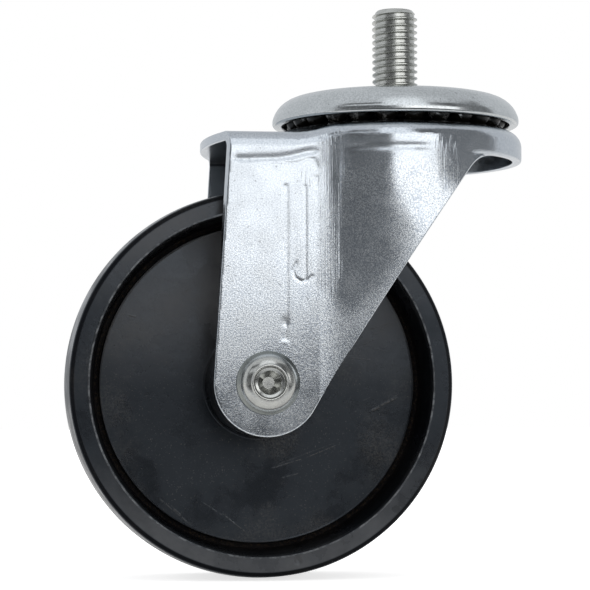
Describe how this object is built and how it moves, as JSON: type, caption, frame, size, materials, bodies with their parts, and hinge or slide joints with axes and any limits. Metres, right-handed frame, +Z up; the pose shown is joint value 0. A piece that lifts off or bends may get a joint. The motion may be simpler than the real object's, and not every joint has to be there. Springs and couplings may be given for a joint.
{
  "type": "swivel castor wheel",
  "caption": "Swivel castor with a threaded stud, a domed ball-race cap, a pressed steel fork and a plain plastic wheel that trails behind the swivel axis.",
  "frame": {"origin": "on the stud's axis, at the level of the cap's flat top face, which seats against the furniture", "axes": "+Z up along the stud; the wheel trails towards -X at rest; the axle runs along Y"},
  "size_m": [0.1205, 0.0695, 0.1491],
  "materials": {
    "fork_zinc": "bright zinc plate on pressed steel, mottled, with vertical draw marks",
    "cap_zinc": "dull zinc plate on pressed steel",
    "stud_zinc": "yellowish zinc plate on a rolled thread",
    "bolt_steel": "smooth zinc plate, slightly green",
    "inner_steel": "plain steel tube, oiled",
    "ball_steel": "polished steel in dark grease",
    "wheel_plastic": "black moulded plastic, satin, dusty and scratched",
    "ring_nylon": "pale nylon locking insert"
  },
  "bodies": {
    "stud_and_cap": {"threaded_stud": "stud_zinc", "top_cap": "cap_zinc", "king_spacer": "inner_steel", "lower_race_cup": "cap_zinc"},
    "upper_ball_ring": {"upper_ball_01": "ball_steel", "upper_ball_02": "ball_steel", "upper_ball_03": "ball_steel", "upper_ball_04": "ball_steel", "upper_ball_05": "ball_steel", "upper_ball_06": "ball_steel", "upper_ball_07": "ball_steel", "upper_ball_08": "ball_steel", "upper_ball_09": "ball_steel", "upper_ball_10": "ball_steel", "upper_ball_11": "ball_steel", "upper_ball_12": "ball_steel", "upper_ball_13": "ball_steel", "upper_ball_14": "ball_steel", "upper_ball_15": "ball_steel", "upper_ball_16": "ball_steel", "upper_ball_17": "ball_steel", "upper_ball_18": "ball_steel", "upper_ball_19": "ball_steel", "upper_ball_20": "ball_steel", "upper_ball_21": "ball_steel", "upper_ball_22": "ball_steel", "upper_ball_23": "ball_steel", "upper_ball_24": "ball_steel"},
    "lower_ball_ring": {"lower_ball_01": "ball_steel", "lower_ball_02": "ball_steel", "lower_ball_03": "ball_steel", "lower_ball_04": "ball_steel", "lower_ball_05": "ball_steel", "lower_ball_06": "ball_steel", "lower_ball_07": "ball_steel", "lower_ball_08": "ball_steel", "lower_ball_09": "ball_steel", "lower_ball_10": "ball_steel", "lower_ball_11": "ball_steel", "lower_ball_12": "ball_steel", "lower_ball_13": "ball_steel", "lower_ball_14": "ball_steel", "lower_ball_15": "ball_steel"},
    "swivel_fork": {"fork": "fork_zinc", "axle_bolt": "bolt_steel", "axle_sleeve": "inner_steel", "axle_nut": "bolt_steel", "nut_lock_ring": "ring_nylon"},
    "rolling_wheel": {"wheel": "wheel_plastic"}
  },
  "joints": [
    {"name": "swivel", "type": "hinge", "parent": "stud_and_cap", "child": "swivel_fork", "pos_m": [0, 0, 0], "axis": [0, 0, 1], "continuous": true},
    {"name": "upper_balls_roll", "type": "hinge", "parent": "stud_and_cap", "child": "upper_ball_ring", "pos_m": [0, 0, 0], "axis": [0, 0, 1], "continuous": true},
    {"name": "lower_balls_roll", "type": "hinge", "parent": "stud_and_cap", "child": "lower_ball_ring", "pos_m": [0, 0, 0], "axis": [0, 0, 1], "continuous": true},
    {"name": "wheel_spin", "type": "hinge", "parent": "swivel_fork", "child": "rolling_wheel", "pos_m": [-0.0372, 0, -0.0754], "axis": [0, 1, 0], "continuous": true}
  ],
  "couplings": [
    {"joint": "upper_balls_roll", "follows": "swivel", "ratio": 0.5},
    {"joint": "lower_balls_roll", "follows": "swivel", "ratio": 0.5}
  ]
}
